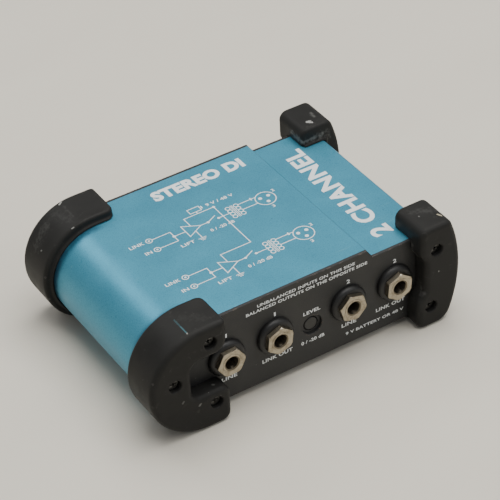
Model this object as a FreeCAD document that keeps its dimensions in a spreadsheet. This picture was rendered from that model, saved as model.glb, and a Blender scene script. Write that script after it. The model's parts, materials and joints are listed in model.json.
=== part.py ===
import FreeCAD, Part
import math
import os
import Sketcher

# Stereo direct injection box, in millimetres.
# +X runs along the box to the end with the lowered top, +Y from the socket side to the output side,
# +Z up. The origin is on the surface that the box stands on, under the middle of its outline.

SIZES = {
    # outline of the whole box, over the rubber bumpers
    "overall_length": 163.6,
    "overall_depth": 118.8,
    "overall_height": 56.4,
    # sheet metal case
    "chassis_depth": 101.2,
    "chassis_height": 48.3,
    "foot_gap": 3.5,
    "case_right": 72.7,
    "round_end_x": -53.2,
    "step_x": 36.5,
    "step_run": 3.1,
    "step_drop": 4.6,
    "sheet_thick": 1.2,
    "panel_thick": 1.5,
    "bend_radius": 1.8,
    "lip_end": -36.0,
    # sockets on the front panel
    "jack_first_x": -39.0,
    "jack_pitch": 25.3,
    "jack_pair_gap": 39.0,
    "jack_height": 27.8,
    "jack_bore": 3.25,
    "jack_barrel": 4.7,
    "mouth_flare": 0.5,
    "mouth_deep": 0.4,
    "jack_proud": 5.5,
    "nut_flats": 12.7,
    "nut_thick": 2.4,
    "washer_radius": 9.3,
    "washer_thick": 3.0,
    "jack_body_side": 16.0,
    "jack_body_long": 27.0,
    # three-pin outputs on the rear panel
    "output_left_x": -25.0,
    "output_right_x": 34.0,
    "output_height": 27.65,
    "flange_wide": 26.0,
    "flange_high": 31.0,
    "flange_thick": 2.0,
    "cup_outer": 11.7,
    "cup_inner": 9.6,
    "cup_deep": 16.0,
    "pin_radius": 1.18,
    "pin_circle": 4.95,
    "pin_long": 11.4,
    # push buttons
    "level_x": 6.3,
    "ground_x": -2.5,
    "power_x": 11.5,
    "button_height": 23.8,
    "button_radius": 3.5,
    "button_hole": 5.2,
    "button_travel": 2.2,
    "button_recess": 1.2,
    "button_cap": 2.6,
    "switch_half": 5.0,
    "switch_long": 13.2,
    "guide_radius": 6.0,
    "guide_thick": 1.8,
    # rubber bumpers
    "wrap_deep": 12.8,
    "lip_deep": 14.0,
    "lip_thick": 1.2,
    "left_arm_end": -42.4,
    "gap_left": -61.2,
    "gap_low": 19.4,
    "gap_high": 39.8,
    "right_block_x": 60.0,
    "bulge_radius": 68.0,
    "bulge_height": 30.5,
    "bumper_round": 2.4,
    "rim_round": 1.4,
    "recess_radius": 3.1,
    "recess_deep": 4.4,
    # fasteners
    "screw_radius": 1.45,
    "screw_hole": 1.7,
    "screw_head": 2.75,
    "cross_long": 3.0,
    "cross_wide": 0.7,
    # circuit board
    "board_top": 19.8,
    "board_thick": 1.6,
    # battery bay
    "battery_long": 48.5,
    "battery_wide": 26.5,
    "battery_thick": 17.5,
    "bay_left": -3.0,
    "bay_right": 55.5,
    "bay_wide": 27.5,
    "bay_roof": 24.4,
    "bay_wall": 1.5,
    "hinge_x": 53.2,
    "hinge_height": 5.75,
    "hinge_pin": 0.8,
}

UP = FreeCAD.Vector(0, 0, 1)
TURN_TO = {
    "+X": FreeCAD.Rotation(FreeCAD.Vector(0, 1, 0), 90),
    "+Y": FreeCAD.Rotation(FreeCAD.Vector(1, 0, 0), -90),
    "-Y": FreeCAD.Rotation(FreeCAD.Vector(1, 0, 0), 90),
    "+Z": FreeCAD.Rotation(),
    "-Z": FreeCAD.Rotation(FreeCAD.Vector(1, 0, 0), 180),
}
PLANE_NORMAL_SIGN = {"XY_Plane": 1, "XZ_Plane": -1, "YZ_Plane": 1}

doc = FreeCAD.newDocument("DirectBox")
sheet = doc.addObject("Spreadsheet::Sheet", "Sizes")
for row, (alias, number) in enumerate(SIZES.items(), start=1):
    sheet.set(f"A{row}", alias)
    sheet.set(f"B{row}", str(number))
    sheet.setAlias(f"B{row}", alias)
doc.recompute()


class Size:
    """A length worked out from the sheet: its number, and the expression that keeps it bound."""

    def __init__(self, number, text):
        self.number = number
        self.text = text

    def _with(self, other, sign, number):
        return Size(number, f"({self.text} {sign} {as_size(other).text})")

    def __add__(self, other):
        return self._with(other, "+", self.number + as_size(other).number)

    def __sub__(self, other):
        return self._with(other, "-", self.number - as_size(other).number)

    def __mul__(self, factor):
        return self._with(factor, "*", self.number * as_size(factor).number)

    def __truediv__(self, factor):
        return self._with(factor, "/", self.number / as_size(factor).number)

    def __neg__(self):
        return self * -1

    def __radd__(self, other):
        return as_size(other) + self

    def __rsub__(self, other):
        return as_size(other) - self


def as_size(value):
    """A plain number taken as a Size."""
    if isinstance(value, Size):
        return value
    return Size(float(value), f"({float(value)})")


def cell(alias):
    """The Size in one cell of the sheet."""
    return Size(float(sheet.get(alias)), f"Sizes.{alias}")


def bind(item, prop, size):
    item.setExpression(prop, as_size(size).text)


# Places that many pieces share.
half_depth = cell("chassis_depth") / 2
inner_face = half_depth - cell("panel_thick")
case_bottom = cell("foot_gap")
case_top = case_bottom + cell("chassis_height")
low_top = case_top - cell("step_drop")
round_z = case_bottom + cell("chassis_height") / 2
floor_inside = case_bottom + cell("sheet_thick")
jack_z = cell("jack_height")
jack_x = [
    cell("jack_first_x"),
    cell("jack_first_x") + cell("jack_pitch"),
    cell("jack_first_x") + cell("jack_pitch") + cell("jack_pair_gap"),
    cell("jack_first_x") + cell("jack_pitch") * 2 + cell("jack_pair_gap"),
]
output_x = [cell("output_left_x"), cell("output_right_x")]
output_z = cell("output_height")
board_bottom = cell("board_top") - cell("board_thick")

pieces = {}


def keep(label, item):
    """Names a finished sub-part; each one is written to a file of that name."""
    item.Label = label
    pieces[label] = item
    return item


# Sketches and solid features -----------------------------------------------------------------

def add_outline(sketch, corners):
    """Closed outline. A corner is (x, y), or (x, y, (cx, cy)) where an arc about (cx, cy) follows:
    the shorter way round, and round the left for a half circle."""
    first = sketch.GeometryCount
    count = len(corners)
    ends = []
    for index, corner in enumerate(corners):
        start = FreeCAD.Vector(as_size(corner[0]).number, as_size(corner[1]).number, 0)
        after = corners[(index + 1) % count]
        stop = FreeCAD.Vector(as_size(after[0]).number, as_size(after[1]).number, 0)
        if len(corner) == 2:
            sketch.addGeometry(Part.LineSegment(start, stop), False)
            ends.append((1, 2))
            continue
        centre = FreeCAD.Vector(as_size(corner[2][0]).number, as_size(corner[2][1]).number, 0)
        from_angle = math.atan2(start.y - centre.y, start.x - centre.x)
        to_angle = math.atan2(stop.y - centre.y, stop.x - centre.x)
        circle = Part.Circle(centre, UP, (start - centre).Length)
        sweep = (to_angle - from_angle) % (2 * math.pi)
        half_round = abs(sweep - math.pi) < 1e-6
        if sweep < math.pi and not half_round or half_round and from_angle > 0:
            sketch.addGeometry(Part.ArcOfCircle(circle, from_angle, to_angle), False)
            ends.append((1, 2))
        else:
            sketch.addGeometry(Part.ArcOfCircle(circle, to_angle, from_angle), False)
            ends.append((2, 1))
    for index in range(count):
        after = (index + 1) % count
        sketch.addConstraint(Sketcher.Constraint(
            "Coincident", first + index, ends[index][1], first + after, ends[after][0]))
    for index, corner in enumerate(corners):
        geometry = first + index
        place_point(sketch, geometry, ends[index][0], corner[0], corner[1])
        if len(corner) == 3:
            hold_distance(sketch, "DistanceX", geometry, 3, corner[2][0])


def hold_distance(sketch, kind, geometry, point, distance):
    """Holds one point of a sketch at a DistanceX or DistanceY from the sketch's origin."""
    number = sketch.addConstraint(
        Sketcher.Constraint(kind, -1, 1, geometry, point, as_size(distance).number))
    bind(sketch, f"Constraints[{number}]", distance)


def place_point(sketch, geometry, point, x, y):
    hold_distance(sketch, "DistanceX", geometry, point, x)
    hold_distance(sketch, "DistanceY", geometry, point, y)


def add_circle(sketch, x, y, radius):
    geometry = sketch.GeometryCount
    centre = FreeCAD.Vector(as_size(x).number, as_size(y).number, 0)
    sketch.addGeometry(Part.Circle(centre, UP, as_size(radius).number), False)
    place_point(sketch, geometry, 3, x, y)
    number = sketch.addConstraint(Sketcher.Constraint("Radius", geometry, as_size(radius).number))
    bind(sketch, f"Constraints[{number}]", radius)


def rectangle(x0, y0, x1, y1):
    return [(x0, y0), (x1, y0), (x1, y1), (x0, y1)]


class Piece:
    """One PartDesign body, built up from sketches and solid features."""

    def __init__(self, label):
        self.body = doc.addObject("PartDesign::Body", "Body")
        keep(label, self.body)

    def sketch(self, role, level, outlines=(), circles=()):
        planes = self.body.Origin.OriginFeatures
        plane = [feature for feature in planes if feature.Role == role][0]
        sketch = self.body.newObject("Sketcher::SketchObject", "Sketch")
        sketch.AttachmentSupport = [(plane, "")]
        sketch.MapMode = "FlatFace"
        bind(sketch, ".AttachmentOffset.Base.z", as_size(level) * PLANE_NORMAL_SIGN[role])
        for outline in outlines:
            add_outline(sketch, outline)
        for circle in circles:
            add_circle(sketch, *circle)
        return sketch

    def prism(self, kind, role, start, stop, outlines=(), circles=()):
        """A Pad or Pocket of a sketch on a plane, from one level to another."""
        start, stop = as_size(start), as_size(stop)
        profile = self.sketch(role, start, outlines, circles)
        feature = self.body.newObject(f"PartDesign::{kind}", kind)
        feature.Profile = profile
        forwards = (stop.number - start.number) * PLANE_NORMAL_SIGN[role] > 0
        feature.Reversed = forwards if kind == "Pocket" else not forwards
        bind(feature, "Length", stop - start if stop.number > start.number else start - stop)
        before = self.body.Shape.Volume if kind == "Pocket" else 0
        doc.recompute()
        if kind == "Pocket" and self.body.Shape.Volume > before - 1e-3:
            raise RuntimeError(f"{self.body.Label}: a pocket removes nothing")
        return self

    def pad(self, role, start, stop, outlines=(), circles=()):
        return self.prism("Pad", role, start, stop, outlines, circles)

    def pocket(self, role, start, stop, outlines=(), circles=()):
        return self.prism("Pocket", role, start, stop, outlines, circles)

    def dress(self, kind, prop, wanted, size):
        """A Fillet or Chamfer on the edges that wanted(edge) picks."""
        base = self.body.Tip
        names = [f"Edge{number}" for number, edge in enumerate(base.Shape.Edges, start=1)
                 if wanted(edge)]
        if not names:
            raise RuntimeError(f"{self.body.Label}: no edge to dress")
        feature = self.body.newObject(f"PartDesign::{kind}", kind)
        feature.Base = (base, names)
        bind(feature, prop, size)
        doc.recompute()
        if "Invalid" in feature.State or not self.body.Shape.isValid():
            raise RuntimeError(f"{self.body.Label}: {kind} failed on {names}")
        return self

    def fillet(self, wanted, radius):
        return self.dress("Fillet", "Radius", wanted, radius)

    def chamfer(self, wanted, size):
        return self.dress("Chamfer", "Size", wanted, size)


def runs_along(edge, axis):
    """True for a straight edge along axis 0, 1 or 2."""
    if len(edge.Vertexes) != 2:
        return False
    run = edge.Vertexes[1].Point - edge.Vertexes[0].Point
    straight = run.Length > 1e-4 and abs(edge.Length - run.Length) < 1e-4
    return straight and abs(run[axis]) > 0.999 * run.Length


def edge_at(axis, **place):
    """Picks straight edges along an axis whose middle has the stated x, y or z."""
    def wanted(edge):
        if not runs_along(edge, axis):
            return False
        middle = edge.BoundBox.Center
        return all(abs(getattr(middle, name) - as_size(level).number) < 0.05
                   for name, level in place.items())
    return wanted


def any_of(*tests):
    return lambda edge: any(test(edge) for test in tests)


def on_level(axis, level):
    """Picks every edge that lies in one plane across an axis."""
    def wanted(edge):
        if edge.Degenerated:
            return False
        first, last = edge.FirstParameter, edge.LastParameter
        points = [edge.valueAt(first + (last - first) * part) for part in (0, 0.3, 0.7, 1)]
        return all(abs(point[axis] - as_size(level).number) < 0.02 for point in points)
    return wanted


# Part primitives ------------------------------------------------------------------------------

def move(item, x, y, z):
    for letter, distance in (("x", x), ("y", y), ("z", z)):
        bind(item, f".Placement.Base.{letter}", distance)
    return item


def box(low, high):
    """Box between two corners."""
    item = doc.addObject("Part::Box", "Block")
    for prop, index in (("Length", 0), ("Width", 1), ("Height", 2)):
        bind(item, prop, as_size(high[index]) - low[index])
    return move(item, *low)


def rod(centre, direction, radius, length):
    """Round bar from centre, length long in the named direction."""
    item = doc.addObject("Part::Cylinder", "Rod")
    bind(item, "Radius", radius)
    bind(item, "Height", length)
    item.Placement = FreeCAD.Placement(FreeCAD.Vector(), TURN_TO[direction])
    return move(item, *centre)


def cone(centre, direction, radius, end_radius, length):
    item = doc.addObject("Part::Cone", "Cone")
    bind(item, "Radius1", radius)
    bind(item, "Radius2", end_radius)
    bind(item, "Height", length)
    item.Placement = FreeCAD.Placement(FreeCAD.Vector(), TURN_TO[direction])
    return move(item, *centre)


def joined(*items):
    item = doc.addObject("Part::MultiFuse", "Joined")
    item.Shapes = list(items)
    return item


def cut(base, *tools):
    item = doc.addObject("Part::Cut", "Cut")
    item.Base = base
    item.Tool = tools[0] if len(tools) == 1 else joined(*tools)
    return item


def common(one, other):
    item = doc.addObject("Part::Common", "Common")
    item.Base = one
    item.Tool = other
    return item


def group(label, items):
    """Several equal pieces in one sub-part, each its own solid."""
    item = doc.addObject("Part::Compound", "Group")
    item.Links = items
    return keep(label, item)


def rounded(item, radius, wanted=None):
    """Rounds the chosen edges of a primitive, or all of them."""
    doc.recompute()
    feature = doc.addObject("Part::Fillet", "Rounded")
    feature.Base = item
    numbers = [number for number, edge in enumerate(item.Shape.Edges, start=1)
               if wanted is None or wanted(edge)]
    feature.Edges = [(number, radius, radius) for number in numbers]
    return feature


# Case -----------------------------------------------------------------------------------------

def case_outline(grow=0.0):
    """Outline of the case from the front, moved outwards by grow."""
    left = cell("round_end_x")
    step_shift = as_size(grow) * 0.53
    right = cell("case_right") + grow
    return [
        (left, case_top + grow, (left, round_z)),
        (left, case_bottom - grow),
        (right, case_bottom - grow),
        (right, low_top + grow),
        (cell("step_x") + cell("step_run") + step_shift, low_top + grow),
        (cell("step_x") + step_shift, case_top + grow),
    ]


def make_top_shell():
    """Steel wrap: flat top with its step, half-round left end with a lip below, right end wall."""
    thick = cell("sheet_thick")
    left = cell("round_end_x")
    inner = case_outline(-thick)
    outer = case_outline()
    section = [
        outer[0],
        outer[1],
        (cell("lip_end"), case_bottom),
        (cell("lip_end"), floor_inside),
        (left, floor_inside, (left, round_z)),
        inner[0][:2],
        inner[5],
        inner[4],
        inner[3],
        (cell("case_right") - thick, case_bottom),
        outer[2],
        outer[3],
        outer[4],
        outer[5],
    ]
    shell = Piece("top_shell").pad("XZ_Plane", -inner_face, inner_face, [section])
    right_corner = edge_at(1, x=cell("case_right"), z=low_top)
    inner_corner = edge_at(1, x=cell("case_right") - thick, z=low_top - thick)
    shell.fillet(right_corner, cell("bend_radius"))
    shell.fillet(inner_corner, cell("bend_radius") - thick)
    step = any_of(
        edge_at(1, x=cell("step_x"), z=case_top),
        edge_at(1, x=cell("step_x") + cell("step_run"), z=low_top))
    shell.fillet(step, 0.9)
    holes = [(-44, side * 30, cell("screw_hole")) for side in (-1, 1)]
    shell.pocket("XY_Plane", floor_inside + 1, case_bottom - 1, circles=holes)


def bumper_screw_places():
    """Centres of the bumper screws, seen from the front, left end first."""
    return [(-50.7, 47.3), (-69.4, 32.0), (-49.6, 12.8), (68.7, 43.0), (65.6, 11.6)]


def make_panel(label, side, holes):
    """Flat side panel, cut to the case's outline. side is -1 for the front, 1 for the rear."""
    outer = half_depth * side
    inner = inner_face * side
    panel = Piece(label).pad("XZ_Plane", inner, outer, [case_outline()])
    screw_holes = [(x, z, cell("screw_hole")) for x, z in bumper_screw_places()]
    panel.pocket("XZ_Plane", outer, inner, circles=screw_holes + holes)
    panel.chamfer(on_level(1, outer), 0.25)


def make_panels():
    jack_holes = [(x, jack_z, cell("jack_barrel") + 0.15) for x in jack_x]
    level_hole = (cell("level_x"), cell("button_height"), cell("button_hole"))
    make_panel("front_panel", -1, jack_holes + [level_hole])
    cups = [(x, output_z, cell("cup_outer") + 0.2) for x in output_x]
    ears = [(x + sx * 9.5, output_z + sz * 12, 1.3)
            for x in output_x for sx, sz in ((-1, 1), (1, -1))]
    buttons = [(cell(name), cell("button_height"), cell("button_hole") - 1.2)
               for name in ("ground_x", "power_x")]
    led = ((cell("ground_x") + cell("power_x")) / 2, 36.0, 1.6)
    make_panel("rear_panel", 1, cups + ears + buttons + [led])


def make_base():
    """Bottom plate, with the opening of the battery bay."""
    edge = half_depth - cell("panel_thick") - 0.1
    left = cell("lip_end") + 0.2
    right = cell("case_right") - cell("sheet_thick") - 0.1
    base = Piece("base_plate").pad(
        "XY_Plane", case_bottom, floor_inside, [rectangle(left, -edge, right, edge)])
    bay_half = cell("bay_wide") / 2
    bay = rectangle(cell("bay_left"), -bay_half, cell("bay_right") + 0.3, bay_half)
    base.pocket("XY_Plane", floor_inside, case_bottom, [bay])
    holes = [(x, side * 30, cell("screw_hole")) for x in (-29, 66) for side in (-1, 1)]
    base.pocket("XY_Plane", floor_inside, case_bottom, circles=holes)


def make_brackets():
    """Channel-shaped brackets inside each end: they take the bumper and base screws."""
    wall = inner_face
    thick = cell("panel_thick")
    top_of_foot = floor_inside + thick
    left_ear = [(-47.7, floor_inside), (-47.7, 49.6), (-56, 49.3), (-73, 38), (-73, 17),
                (-56, 5.4), (-53, floor_inside)]
    right_ear = rectangle(60.6, floor_inside, 71.2, 45.6)
    holes = bumper_screw_places()
    plans = (
        ("left_bracket", left_ear, (-53, -24), holes[:3], (-44, -29)),
        ("right_bracket", right_ear, (60.6, 71.2), holes[3:], (66,)),
    )
    for label, ear, (foot_left, foot_right), ear_holes, foot_holes in plans:
        foot = rectangle(foot_left, -wall, foot_right, wall)
        bracket = Piece(label).pad("XY_Plane", floor_inside, top_of_foot, [foot])
        for side in (-1, 1):
            outer = inner_face * side
            inner = (inner_face - thick) * side
            bracket.pad("XZ_Plane", outer, inner, [ear])
            tapped = [(x, z, cell("screw_radius") + 0.05) for x, z in ear_holes]
            bracket.pocket("XZ_Plane", outer, inner, circles=tapped)
        tapped = [(x, side * 30, cell("screw_radius") + 0.05)
                  for x in foot_holes for side in (-1, 1)]
        bracket.pocket("XY_Plane", top_of_foot, floor_inside, circles=tapped)


# Bumpers --------------------------------------------------------------------------------------

def left_bumper_outline():
    """C shape: round outside, with a cut-out on the right that clears the first socket."""
    arm = cell("left_arm_end")
    radius = cell("overall_height") / 2
    left = radius - cell("overall_length") / 2
    return [
        (left, cell("overall_height"), (left, radius)),
        (left, 0),
        (arm, 0),
        (arm, cell("gap_low")),
        (cell("gap_left"), cell("gap_low")),
        (cell("gap_left"), cell("gap_high")),
        (arm, cell("gap_high")),
        (arm, cell("overall_height")),
    ]


def right_bumper_outline():
    """Upright block with a bulged right side and a hollow on the left beside the last socket."""
    bulge = cell("bulge_radius")
    centre = (cell("overall_length") / 2 - bulge, cell("bulge_height"))
    top = cell("overall_height")
    above = top.number - centre[1].number
    below = centre[1].number
    top_x = centre[0].number + math.sqrt(bulge.number ** 2 - above ** 2)
    bottom_x = centre[0].number + math.sqrt(bulge.number ** 2 - below ** 2)
    block = cell("right_block_x")
    return [
        (block, top),
        (block, 42.5),
        (block + 2.6, 38.0),
        (block + 2.6, 21.0),
        (block - 1.6, 16.0),
        (block - 1.6, 0),
        (bottom_x, 0, centre),
        (top_x, top),
    ]


def make_bumper(label, side, shape):
    """Rubber bumper: a thick pad on the panel, and a wrap that hooks over the case's edges with a
    thin lip along its foot. side is -1 for the front, 1 for the rear."""
    outer = cell("overall_depth") / 2 * side
    panel = half_depth * side
    wrap = (half_depth - cell("wrap_deep")) * side
    lip_end = (half_depth - cell("lip_deep")) * side
    recess_floor = outer - cell("recess_deep") * side
    bumper = Piece(label).pad("XZ_Plane", wrap, outer, [shape["outline"]])
    for x, z, radius in shape["corners"]:
        bumper.fillet(edge_at(1, x=x, z=z), radius)
    bumper.fillet(on_level(1, outer), cell("bumper_round"))
    if shape["hook_round"]:
        waste = outside_corner(shape["hook_x"], wrap, shape["hook_round"], side)
        bumper.pocket("XY_Plane", cell("overall_height") + 1, case_top, [waste])
    bumper.fillet(on_outer_rim(wrap), cell("rim_round"))
    bumper.pad("XZ_Plane", panel, lip_end, [shape["lip"]])
    waste = outside_corner(shape["hook_x"], lip_end, shape["lip_round"], side)
    bumper.pocket("XY_Plane", shape["lip_top"], -1, [waste])
    bumper.pocket("XZ_Plane", panel, lip_end - side, [shape["case"]])
    recesses = [(x, z, cell("recess_radius")) for x, z in shape["screws"]]
    bumper.pocket("XZ_Plane", outer, recess_floor, circles=recesses)
    holes = [(x, z, cell("screw_hole")) for x, z in shape["screws"]]
    bumper.pocket("XZ_Plane", recess_floor, panel, circles=holes)


def on_outer_rim(level):
    """Picks the edges of the wrap's inner end that stay on the bumper's outside."""
    flat = on_level(1, level)
    grown = cell("lip_thick").number + 0.6

    def wanted(edge):
        if not flat(edge):
            return False
        middle = edge.valueAt((edge.FirstParameter + edge.LastParameter) / 2)
        above = middle.z > case_top.number + grown or middle.z < case_bottom.number - grown
        beyond = middle.x > cell("case_right").number + grown
        left = cell("round_end_x").number
        reach = math.hypot(middle.x - left, middle.z - round_z.number)
        round_end = middle.x < left and reach > round_z.number - case_bottom.number + grown
        return above or beyond or round_end
    return wanted


def outside_corner(x, y, radius, side):
    """The waste outside a corner that is rounded in plan, on a hook that ends at x and y."""
    beside = y + as_size(radius) * side
    beyond = y - as_size(radius) * side
    inside = x - radius
    return [(inside, y, (inside, beside)), (x, beside), (x + 1, beside), (x + 1, beyond),
            (inside, beyond)]


def left_bumper():
    arm = cell("left_arm_end")
    gap = cell("gap_left")
    low = cell("gap_low")
    high = cell("gap_high")
    lip = cell("lip_thick")
    left = cell("round_end_x")
    return {
        "outline": left_bumper_outline(),
        "corners": [(arm, high, 6.5), (gap, high, 5.0), (gap, low, 4.0), (arm, low, 4.0),
                    (arm, 0, 4.5)],
        "hook_x": arm,
        "hook_round": 3.6,
        "lip_round": 4.4,
        "lip_top": case_top + lip,
        "lip": [(left, case_top + lip, (left, round_z)), (left, case_bottom - lip),
                (arm, case_bottom - lip), (arm, case_top + lip)],
        "case": [(left, case_top, (left, round_z)), (left, case_bottom),
                 (arm + 10, case_bottom), (arm + 10, case_top)],
        "screws": bumper_screw_places()[:3],
    }


def right_bumper():
    block = cell("right_block_x")
    lip = cell("lip_thick")
    right = cell("case_right")
    top = cell("overall_height")
    outline = right_bumper_outline()
    return {
        "outline": outline,
        "corners": [(block, top, 4.5), (block, 42.5, 3.0), (block + 2.6, 38.0, 3.0),
                    (block + 2.6, 21.0, 3.0), (block - 1.6, 16.0, 3.0), (block - 1.6, 0, 4.5),
                    (outline[6][0], 0, 8.0), (outline[7][0], top, 3.5)],
        "hook_x": block,
        "hook_round": None,
        "lip_round": 2.0,
        "lip_top": low_top + lip,
        "lip": rectangle(block, case_bottom - lip, right + lip, low_top + lip),
        "case": rectangle(block - 10, case_bottom, right, low_top),
        "screws": bumper_screw_places()[3:],
    }


def make_bumpers():
    for side, place in ((-1, "front"), (1, "rear")):
        make_bumper(f"bumper_{place}_left", side, left_bumper())
        make_bumper(f"bumper_{place}_right", side, right_bumper())


def cross_screw(x, y, z, direction, head_radius, head_thick, shank_radius, shank_long):
    """Screw with a round head and a cross recess. (x, y, z) is under the head; the shank goes on
    in the named direction."""
    inward = {"+Y": (0, 1, 0), "-Y": (0, -1, 0), "+Z": (0, 0, 1), "-Z": (0, 0, -1)}[direction]
    face = [as_size(start) - as_size(head_thick) * step
            for start, step in zip((x, y, z), inward)]
    head = rod(face, direction, head_radius, head_thick)
    shank = rod((x, y, z), direction, shank_radius, shank_long)
    arm_half = cell("cross_long") / 2
    slot_half = cell("cross_wide") / 2
    deep = as_size(head_thick) / 2
    arms = []
    for long, wide in ((arm_half, slot_half), (slot_half, arm_half)):
        half = [long, deep, wide] if "Y" in direction else [long, wide, deep]
        arms.append(box([level - size for level, size in zip(face, half)],
                        [level + size for level, size in zip(face, half)]))
    return cut(joined(head, shank), *arms)


def make_screws():
    outer = cell("overall_depth") / 2
    seat = outer - cell("recess_deep")
    shank = seat - inner_face + cell("panel_thick") * 2 + 1
    bumper_screws = []
    for side, direction in ((-1, "+Y"), (1, "-Y")):
        for x, z in bumper_screw_places():
            bumper_screws.append(cross_screw(x, seat * side, z, direction, cell("screw_head"),
                                             2.0, cell("screw_radius"), shank))
    group("bumper_screws", bumper_screws)
    base_screws = [cross_screw(x, side * 30, case_bottom, "+Z", cell("screw_head"), 1.6,
                               cell("screw_radius"), 5.5)
                   for x in (-44, -29, 66) for side in (-1, 1)]
    group("base_screws", base_screws)


# Jack sockets ---------------------------------------------------------------------------------

def make_jacks():
    """Four 6.35 mm sockets: body, threaded barrel, ring, nut and contact springs."""
    front = -(half_depth + cell("jack_proud"))
    barrel_long = cell("jack_proud") + cell("panel_thick") + 8
    barrel_end = -half_depth + cell("panel_thick") + 8
    body_half = cell("jack_body_side") / 2
    body_end = -inner_face + cell("jack_body_long")
    labels = ("input_jack_left", "link_jack_left", "input_jack_right", "link_jack_right")
    turns = (3.6, 22.8, 44.7, 24.6)
    barrels, washers, nuts, contacts = [], [], [], []
    for label, x, turn in zip(labels, jack_x, turns):
        block = box((x - body_half, -inner_face, cell("board_top")),
                    (x + body_half, body_end, cell("board_top") + cell("jack_body_side")))
        seat = rod((x, -inner_face, jack_z), "+Y", cell("jack_barrel") + 0.05, 8)
        chamber = rod((x, barrel_end, jack_z), "+Y", 4.2, body_end - barrel_end - 1.5)
        slot = box((x + 2, barrel_end + 2, jack_z - 4.3), (x + 4.9, body_end - 2, jack_z + 4.3))
        keep(label, cut(block, seat, chamber, slot))
        mouth = cone((x, front, jack_z), "+Y", cell("jack_bore") + cell("mouth_flare"),
                     cell("jack_bore"), cell("mouth_deep"))
        barrels.append(cut(rod((x, front, jack_z), "+Y", cell("jack_barrel"), barrel_long),
                           rod((x, front - 1, jack_z), "+Y", cell("jack_bore"), barrel_long + 2),
                           mouth))
        ring = rounded(rod((x, -half_depth - cell("washer_thick"), jack_z), "+Y",
                           cell("washer_radius"), cell("washer_thick")),
                       2.2, on_level(1, -half_depth - cell("washer_thick")))
        washers.append(cut(ring, rod((x, -half_depth - 4, jack_z), "+Y",
                                     cell("jack_barrel") + 0.1, 5)))
        nuts.append(jack_nut(x, -half_depth - cell("washer_thick"), turn))
        for height in (-1, 1):
            blade = box((x + 4.4, barrel_end + 3, jack_z + height * 3 - 1),
                        (x + 4.9, body_end - 3, jack_z + height * 3 + 1))
            contacts.append(blade)
    group("jack_bushings", barrels)
    group("jack_washers", washers)
    group("jack_nuts", nuts)
    group("jack_contacts", contacts)


def jack_nut(x, back, turn):
    """Hexagon nut with its corners knocked off, turned as it was tightened."""
    corner = cell("nut_flats") / math.sqrt(3)
    prism = doc.addObject("Part::Prism", "Hexagon")
    prism.Polygon = 6
    bind(prism, "Circumradius", corner)
    bind(prism, "Height", cell("nut_thick"))
    spin = FreeCAD.Rotation(UP, turn)
    prism.Placement = FreeCAD.Placement(FreeCAD.Vector(), TURN_TO["-Y"].multiply(spin))
    move(prism, x, back, jack_z)
    front = back - cell("nut_thick")
    knocked = joined(cone((x, front, jack_z), "+Y", corner - 0.5, corner + 0.3, 0.8),
                     rod((x, front + 0.8, jack_z), "+Y", corner + 0.3, cell("nut_thick") - 0.8))
    bore = rod((x, front - 1, jack_z), "+Y", cell("jack_barrel") + 0.06, cell("nut_thick") + 2)
    return cut(common(prism, knocked), bore)


# Three-pin outputs ----------------------------------------------------------------------------

def pin_places(x):
    """Centres of one output's three pins, spread evenly round their circle."""
    return [(x + cell("pin_circle") * math.cos(math.radians(angle)),
             output_z + cell("pin_circle") * math.sin(math.radians(angle)))
            for angle in (30, 150, 270)]


def make_outputs():
    """Two panel outputs: cup with its flange, insulating insert, three pins and screws."""
    face = half_depth + cell("flange_thick")
    cup_floor = face - cell("cup_deep")
    back = cup_floor - 5.6
    inserts, pins, screws = [], [], []
    for label, x in zip(("output_left", "output_right"), output_x):
        wide = cell("flange_wide") / 2
        high = cell("flange_high") / 2
        cup = Piece(label)
        cup.pad("XZ_Plane", half_depth, face, [rectangle(x - wide, output_z - high,
                                                         x + wide, output_z + high)])
        cup.fillet(lambda edge: runs_along(edge, 1), 3.0)
        cup.fillet(on_level(1, face), 0.5)
        cup.pad("XZ_Plane", half_depth, back, circles=[(x, output_z, cell("cup_outer"))])
        cup.pocket("XZ_Plane", face, cup_floor, circles=[(x, output_z, cell("cup_inner"))])
        cup.pocket("XZ_Plane", cup_floor, back,
                   circles=[(x, output_z, cell("cup_inner") - 1.0)])
        ears = [(x - 9.5, output_z + 12), (x + 9.5, output_z - 12)]
        cup.pocket("XZ_Plane", face, half_depth, circles=[(px, pz, 1.6) for px, pz in ears])
        disc = rod((x, back, output_z), "+Y", cell("cup_inner") - 1.05, 5.6)
        holes = [rod((px, back - 1, pz), "+Y", cell("pin_radius"), 8) for px, pz in pin_places(x)]
        inserts.append(cut(disc, *holes))
        for px, pz in pin_places(x):
            long = cup_floor + cell("pin_long") - back + 4
            pin = rod((px, back - 4, pz), "+Y", cell("pin_radius"), long)
            pins.append(rounded(pin, 0.9, on_level(1, cup_floor + cell("pin_long"))))
        for px, pz in ears:
            screws.append(cross_screw(px, face, pz, "-Y", 2.4, 1.3, 1.25, 7.0))
    group("output_inserts", inserts)
    group("output_pins", pins)
    group("output_screws", screws)


# Push buttons and lamp ------------------------------------------------------------------------

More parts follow.
